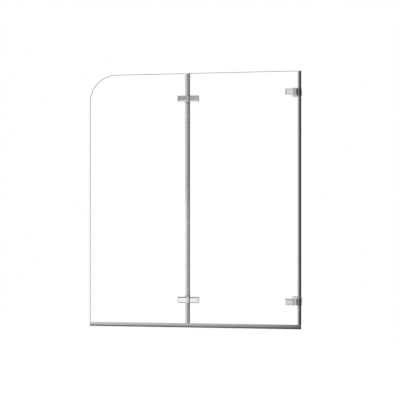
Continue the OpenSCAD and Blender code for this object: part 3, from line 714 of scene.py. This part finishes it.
def clip_and_bulb(edge, leg, tip):
    """Section of an upright seal over a glass edge that looks towards +X: two legs of the given length,
    a web, and a hollow bulb whose round end reaches tip."""
    base, foot, o, i = edge + 0.2, edge - leg, SEAL_HALF, SEAL_INSIDE
    outside = rounded([(foot, -o, 0.5), (tip, -o, 4.19), (tip, o, 4.19), (foot, o, 0.5),
                       (foot, i, 0.5), (base, i, 0.5), (base, -i, 0.5), (foot, -i, 0.5)], 10)
    inside = rounded([(base + 1.2, -3.3, 0.8), (tip - 0.9, -3.3, 3.29), (tip - 0.9, 3.3, 3.29),
                      (base + 1.2, 3.3, 0.8)], 10)
    return [outside, hole(inside)]


class SCREEN_OT_upright_seals(bpy.types.Operator):
    """Makes the upright seals: on the wall side, and on both leaves at the fold"""
    bl_idname = "bath_screen.upright_seals"
    bl_label = "Upright Seals"

    def execute(self, context):
        look = context.scene.bath_screen
        (i0, i1), (o0, o1) = INNER_X, OUTER_X
        web, back, foot, o, i = i0 - 0.2, i0 - 1.4, i0 + 4.2, SEAL_HALF, SEAL_INSIDE
        legs = rounded([(back, -o, 0.6), (foot, -o, 0.5), (foot, -i, 0.5), (web, -i, 0.5),
                        (web, i, 0.5), (foot, i, 0.5), (foot, o, 0.5), (back, o, 0.6)])
        # the stops across each profile are the seal's own pale and grey with painted shade added: nearly
        # black on the wall seal's side next to the wall, dark on the inner fold seal
        rows = [
            ("wall_seal", clip_and_bulb(i1, 8.2, -0.1), "inner_leaf", None,
             [(-21, "#DCDEDE"), (-16, "#C8CACB"), (-10, "#5C5E60"), (-2, "#101214")]),
            ("outer_fold_seal", clip_and_bulb(o1, 10.0, i0 - 1.8), "outer_leaf", 1.16,
             [(-651, "#FAFBFB"), (-647, "#E4E5E5"), (-641, "#CCCECF"), (-636, "#8A8C8D"), (-629, "#C0C2C3")]),
            ("inner_fold_seal", [legs], "inner_leaf", 1.6, [(-628, "#4A4C4E"), (-622, "#5C5E60")]),
        ]
        high, low = FOLD_Z["upper"] - LEAF_HALF, FOLD_Z["lower"] + LEAF_HALF
        cut = cut_pvc()
        for name, outlines, body, pale, stops in rows:
            # painted light and shade along each seal: the wall seal darker towards the bottom; on the fold
            # seals pale is a painted lift of the lower part, and painted shadows darken 3.5 mm next to each
            # fold hinge
            shaded, gloss = [(-150, 0.72), (-44, 0.88), (150, 1.0)], 0.2
            if pale:
                gloss = 0.5
                shaded = [(low - 1, 0.93 * pale), (low, 0.45), (low + 3.5, 0.45), (low + 5.5, pale),
                          (low + 420, pale), (high - 430, 0.92), (high - 5.5, 0.92), (high - 3.5, 0.38),
                          (high, 0.38), (high + 1, 0.95)]
            finish = seal_pvc(f"soft PVC, extruded, {name.replace('_', ' ')}", "X", stops, "Z", shaded, gloss)
            for part in ("top", "middle", "bottom"):
                node = f"{name}_{part}"
                z0, z1 = span(node, "z")
                ends = [(END_BREAK, z0), (0.0, z0 + END_BREAK), (0.0, z1 - END_BREAK), (END_BREAK, z1)]
                shell = plate([(o, ends) for o in outlines], "xyz")
                piece(node + "_extrusion", shell, body, node, [cut, finish])
        return {"FINISHED"}


class SCREEN_OT_drip_seals(bpy.types.Operator):
    """Makes the seals along the bottom of both leaves, with their front and rear lips"""
    bl_idname = "bath_screen.drip_seals"
    bl_label = "Drip Seals"

    def execute(self, context):
        z = RIM_Z
        o, i, top = SEAL_HALF, SEAL_INSIDE, z + 24
        section = [(-o, top, 0.5), (-o, z + 6.8, 0.8), (-2.7, z, 0.5), (-1.5, z, 0.5), (-i, z + 5.6, 0.4),
                   (i, z + 5.6, 0.5), (8.8, z, 0.5), (10.0, z + 1.2, 0.5), (o, z + 8.0, 0.8),
                   (o, top, 0.5), (i, top, 0.5), (i, z + 8.0, 0.4), (-i, z + 8.0, 0.4), (-i, top, 0.5)]
        outline = rounded(section)
        # the stops up the profile are the seal's own grey with painted shade, darker towards the foot; the
        # shares along it are painted shade, darker towards the wall
        finish = seal_pvc("soft PVC, extruded, drip seal", "Z",
                          [(z, "#56585A"), (z + 5, "#66686A"), (z + 7, "#808284"), (z + 9, "#B0B2B3"),
                           (z + 24, "#DFE1E1")], "X",
                          [(-1150, 1.0), (-850, 0.88), (-500, 0.72), (-230, 0.54), (-60, 0.36), (-10, 0.2)])
        for leaf in ("inner", "outer"):
            node = f"{leaf}_drip_seal"
            x0, x1 = span(node, "x")
            ends = [(END_BREAK, x0), (0.0, x0 + END_BREAK), (0.0, x1 - END_BREAK), (END_BREAK, x1)]
            shell = plate([(outline, ends)], "yzx")
            piece(node + "_extrusion", shell, leaf + "_leaf", node, [cut_pvc(), finish])
        return {"FINISHED"}


class SCREEN_OT_small_parts(bpy.types.Operator):
    """Gives the pins, screws, bushes, sleeves, gaskets and caps their finishes and eased edges"""
    bl_idname = "bath_screen.small_parts"
    bl_label = "Small Parts"

    def execute(self, context):
        steel, nylon, sheet = stainless_steel(), white_nylon(), clear_silicone()
        rows = {"swing_pins": steel, "fold_pins": steel, "swing_bushes": nylon, "fold_bushes": nylon,
                "pin_grub_screws": black_steel(), "barrel_caps": polished_chrome()}
        for part in ("wall_leaf", "fold_inner", "fold_outer"):
            rows[f"{part}_screws"], rows[f"{part}_sleeves"] = steel, nylon
        for u in ("upper", "lower"):
            for part in ("wall", "fold_inner", "fold_outer"):
                rows[f"{u}_{part}_gaskets"] = sheet
        smooth = smoothing()
        for node, finish in rows.items():
            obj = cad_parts[node]
            obj.data.materials.clear()
            obj.data.materials.append(finish)
            weld = obj.modifiers.new("join triangles", "WELD")
            weld.merge_threshold = 1e-5
            ease = obj.modifiers.new("ease edges", "BEVEL")
            ease.width, ease.segments = 0.00012, 2
            ease.limit_method, ease.angle_limit = "ANGLE", math.radians(40)
            obj.modifiers.new("smooth rounds", "NODES").node_group = smooth
        return {"FINISHED"}


def smoothing():
    """A modifier's node group: shades every face smooth except across edges of more than 32 degrees."""
    tree = bpy.data.node_groups.new("smooth below 32 degrees", "GeometryNodeTree")
    tree.interface.new_socket("Geometry", in_out="INPUT", socket_type="NodeSocketGeometry")
    tree.interface.new_socket("Geometry", in_out="OUTPUT", socket_type="NodeSocketGeometry")
    start = add(tree, "NodeGroupInput")
    faces = add(tree, "GeometryNodeSetShadeSmooth", {"domain": "FACE"}, Geometry=start.outputs[0])
    faces.inputs["Shade Smooth"].default_value = True
    angle = add(tree, "GeometryNodeInputMeshEdgeAngle")
    steep = add(tree, "ShaderNodeMath", {"operation": "GREATER_THAN"}, i0=angle.outputs[0],
                i1=math.radians(32))
    edges = add(tree, "GeometryNodeSetShadeSmooth", {"domain": "EDGE"}, Geometry=faces.outputs[0],
                Selection=steep.outputs[0])
    edges.inputs["Shade Smooth"].default_value = False
    add(tree, "NodeGroupOutput", Geometry=edges.outputs[0])
    return tree


# ---------------------------------------------------------------- the stage

class SCREEN_OT_stage(bpy.types.Operator):
    """Makes the pale floor, the soft light, the white surroundings and the camera"""
    bl_idname = "bath_screen.stage"
    bl_label = "Stage"

    def execute(self, context):
        look = context.scene.bath_screen
        scene = context.scene
        scene.view_settings.view_transform = "Standard"
        z = RIM_Z * MM - look.floor_drop
        mesh = bpy.data.meshes.new("floor")
        r = 6.0
        mesh.from_pydata([(-r, -r, z), (r, -r, z), (r, r, z), (-r, r, z)], [], [(0, 1, 2, 3)])
        floor = bpy.data.objects.new("floor", mesh)
        scene.collection.objects.link(floor)
        made, tree, coords = material("floor, matt, pale")
        path = add(tree, "ShaderNodeLightPath")
        straight = add(tree, "ShaderNodeMath", {"operation": "MAXIMUM"}, i0=path.outputs["Is Camera Ray"],
                       i1=path.outputs["Is Transmission Ray"])
        matt = add(tree, "ShaderNodeBsdfDiffuse", Color=linear("#F2F2F2"))
        glow = add(tree, "ShaderNodeMath", {"operation": "MULTIPLY"}, i0=straight.outputs[0], i1=0.6)
        lift = add(tree, "ShaderNodeEmission", Color=(1, 1, 1, 1), Strength=glow.outputs[0])
        both = add(tree, "ShaderNodeAddShader", i0=matt.outputs[0], i1=lift.outputs[0])
        flat = add(tree, "ShaderNodeVectorMath", {"operation": "MULTIPLY"}, i0=coords, i1=(1, 1, 0))
        away = add(tree, "ShaderNodeVectorMath", {"operation": "DISTANCE"}, i0=flat.outputs[0],
                   i1=(-0.6, 0, 0))
        # painted reflection of a shadow: mirrors see the floor greyer near the screen, tuned to the camera's
        # view
        near = colour_along(tree, away.outputs["Value"], [(0.3, linear("#BFBFBF")), (1.3, linear("#CACACA")),
                                                          (1.9, linear("#D4D4D4")), (3.0, linear("#F3F3F3"))])
        mirrored = add(tree, "ShaderNodeEmission", Color=near, Strength=1.0)
        glossy = add(tree, "ShaderNodeMath", {"operation": "GREATER_THAN"}, i0=path.outputs["Is Glossy Ray"],
                     i1=straight.outputs[0])
        mix = add(tree, "ShaderNodeMixShader", Fac=glossy.outputs[0], i1=both.outputs[0],
                  i2=mirrored.outputs[0])
        mesh.materials.append(close(made, mix.outputs[0]))
        self.world(scene)
        for name, place, size, power, colour in (
            ("key lamp", (-3.5, -5.0, 4.5), 3.0, 160, "#FFFFFF"),
            ("fill lamp", (4.0, -4.0, 2.5), 3.0, 70, "#FFFFFF"),
            ("back lamp", (1.0, 4.5, 3.5), 3.0, 70, "#FFFFFF"),
        ):
            data = bpy.data.lights.new(name, "AREA")
            data.size, data.energy, data.color = size, power * look.lamp_level, linear(colour)[:3]
            lamp = bpy.data.objects.new(name, data)
            lamp.visible_camera = lamp.visible_glossy = lamp.visible_transmission = False
            lamp.location = place
            aim = np.array([-0.6, 0, 0.5]) - place
            lamp.rotation_euler = (math.acos(-aim[2] / np.linalg.norm(aim)), 0, math.atan2(-aim[0], aim[1]))
            scene.collection.objects.link(lamp)
        data = bpy.data.cameras.new("camera")
        data.lens, data.sensor_width, data.shift_y = 143.3, 36.0, 0.0527
        data.clip_end = 200
        camera = bpy.data.objects.new("camera", data)
        camera.location = (1.572, -8.490, RIM_Z * MM + 0.586)
        camera.rotation_euler = (math.pi / 2, 0, math.radians(14.13))
        scene.collection.objects.link(camera)
        scene.camera = camera
        return {"FINISHED"}

    def world(self, scene):
        """White surroundings for what looks straight or through glass at them, soft even light for matt
        surfaces, and for mirrors a made-up room tuned to the camera's view. From left to right it has grey
        and bright bands, paler below eye level than above it, with a dark band a little above eye level, a
        darker rear, and its own grey overhead and underfoot."""
        world = bpy.data.worlds.new("studio")
        scene.world = world
        world.use_nodes = True
        tree = world.node_tree
        tree.nodes.clear()
        path = add(tree, "ShaderNodeLightPath")
        ray = add(tree, "ShaderNodeTexCoord").outputs["Generated"]
        axes = add(tree, "ShaderNodeSeparateXYZ", Vector=ray)
        across, depth, height = axes.outputs
        below = colour_along(tree, across, greys((-1, 0.76), (-0.6, 0.72), (-0.3, 1.0), (-0.255, 1.08),
                                                 (-0.2, 0.71), (0.12, 0.82), (0.25, 0.66), (0.9, 0.6),
                                                 (1, 0.45)))
        above = colour_along(tree, across, greys((-1, 0.37), (-0.255, 0.37), (-0.2, 0.77), (0.0, 0.56),
                                                 (0.25, 0.4), (0.9, 0.38), (1, 0.3)))
        rear = colour_along(tree, across, greys((-1, 0.5), (0.0, 0.6), (0.3, 0.3), (0.7, 0.12), (1, 0.1)))
        ground = colour_along(tree, across, greys((-0.24, 0.9), (-0.2, 0.62)))
        band = colour_along(tree, height, greys((0.15, 1.0), (0.22, 0.0), (0.36, 0.0), (0.4, 1.0)))
        above = add(tree, "ShaderNodeMix", {"data_type": "RGBA"}, Factor=band, A_Color=grey(0.38),
                    B_Color=above).outputs["Result"]
        room = below
        for axis, low, high, layer in ((height, -0.02, 0.03, above), (depth, 0.05, 0.4, rear),
                                       (height, 0.75, 0.97, grey(0.36)), (height, -0.12, -0.3, ground),
                                       (depth, 0.88, 0.96, grey(1.0))):
            share = add(tree, "ShaderNodeMapRange", {"interpolation_type": "SMOOTHSTEP"}, Value=axis, i1=low,
                        i2=high)
            room = add(tree, "ShaderNodeMix", {"data_type": "RGBA"}, Factor=share.outputs[0], A_Color=room,
                       B_Color=layer).outputs["Result"]
        seen = grey(0.62)
        for ray_kind, light in (("Is Glossy Ray", room), ("Is Transmission Ray", grey(1.06)),
                                ("Is Camera Ray", grey(1.0))):
            seen = add(tree, "ShaderNodeMix", {"data_type": "RGBA"}, Factor=path.outputs[ray_kind],
                       A_Color=seen, B_Color=light).outputs["Result"]
        sky = add(tree, "ShaderNodeBackground", Color=seen, Strength=1.0)
        add(tree, "ShaderNodeOutputWorld", Surface=sky.outputs[0])


# ---------------------------------------------------------------- settings and panel

class ScreenLook(bpy.types.PropertyGroup):
    arris: FloatProperty(name="Glass Arris", description="Width of the ground chamfer round each pane",
                         default=0.0014, min=0.0004, max=0.0016, unit="LENGTH", precision=4)
    edge_line: FloatProperty(name="Edge Line", description="Width that the wheel dulled beside the arris",
                             default=0.0009, min=0.0, max=0.002, unit="LENGTH", precision=4)
    glass_tint: FloatVectorProperty(name="Glass Tint", description="Colour of the glass", subtype="COLOR",
                                    default=linear("#FBFDFC")[:3], min=0.0, max=1.0)
    casting_edge: FloatProperty(name="Casting Edge", description="Radius on the ends of the hinge barrels",
                                default=0.0009, min=0.0003, max=0.002, unit="LENGTH", precision=4)
    cove: FloatProperty(name="Cove", description="Fillet between a plate and its barrel or knuckle",
                        default=0.0004, min=0.0003, max=0.002, unit="LENGTH", precision=4)
    chrome_colour: FloatVectorProperty(name="Chrome", description="Reflection colour of the chrome plate",
                                       subtype="COLOR", default=linear("#EDEEEF")[:3], min=0.0, max=1.0)
    chrome_roughness: FloatProperty(name="Chrome Roughness", description="Blur of the chrome's reflections",
                                    default=0.05, min=0.0, max=0.5, subtype="FACTOR")
    floor_drop: FloatProperty(name="Floor Drop", description="Height of the bath rim above the floor",
                              default=0.56, min=0.1, max=1.5, unit="LENGTH")
    lamp_level: FloatProperty(name="Lamp Level", description="Brightness of all lamps", default=1.0, min=0.0,
                              max=4.0, subtype="FACTOR")


STEPS = (SCREEN_OT_glass, SCREEN_OT_brackets, SCREEN_OT_wall_leaves, SCREEN_OT_fold_leaves,
         SCREEN_OT_back_plates, SCREEN_OT_upright_seals, SCREEN_OT_drip_seals, SCREEN_OT_small_parts,
         SCREEN_OT_stage)


class SCREEN_PT_panel(bpy.types.Panel):
    """Lists the screen's settings and the steps that make it"""
    bl_idname = "SCREEN_PT_panel"
    bl_label = "Folding Bath Screen"
    bl_space_type = "VIEW_3D"
    bl_region_type = "UI"
    bl_category = "Bath Screen"

    def draw(self, context):
        for key in ScreenLook.__annotations__:
            self.layout.prop(context.scene.bath_screen, key)
        for step in STEPS:
            self.layout.operator(step.bl_idname)


def register():
    for cls in (ScreenLook, *STEPS, SCREEN_PT_panel):
        bpy.utils.register_class(cls)
    bpy.types.Scene.bath_screen = PointerProperty(type=ScreenLook)


def unregister():
    del bpy.types.Scene.bath_screen
    for cls in (SCREEN_PT_panel, *reversed(STEPS), ScreenLook):
        bpy.utils.unregister_class(cls)


def main():
    register()
    for step in STEPS:
        group, name = step.bl_idname.split(".")
        getattr(getattr(bpy.ops, group), name)()


if __name__ == "__main__":
    main()
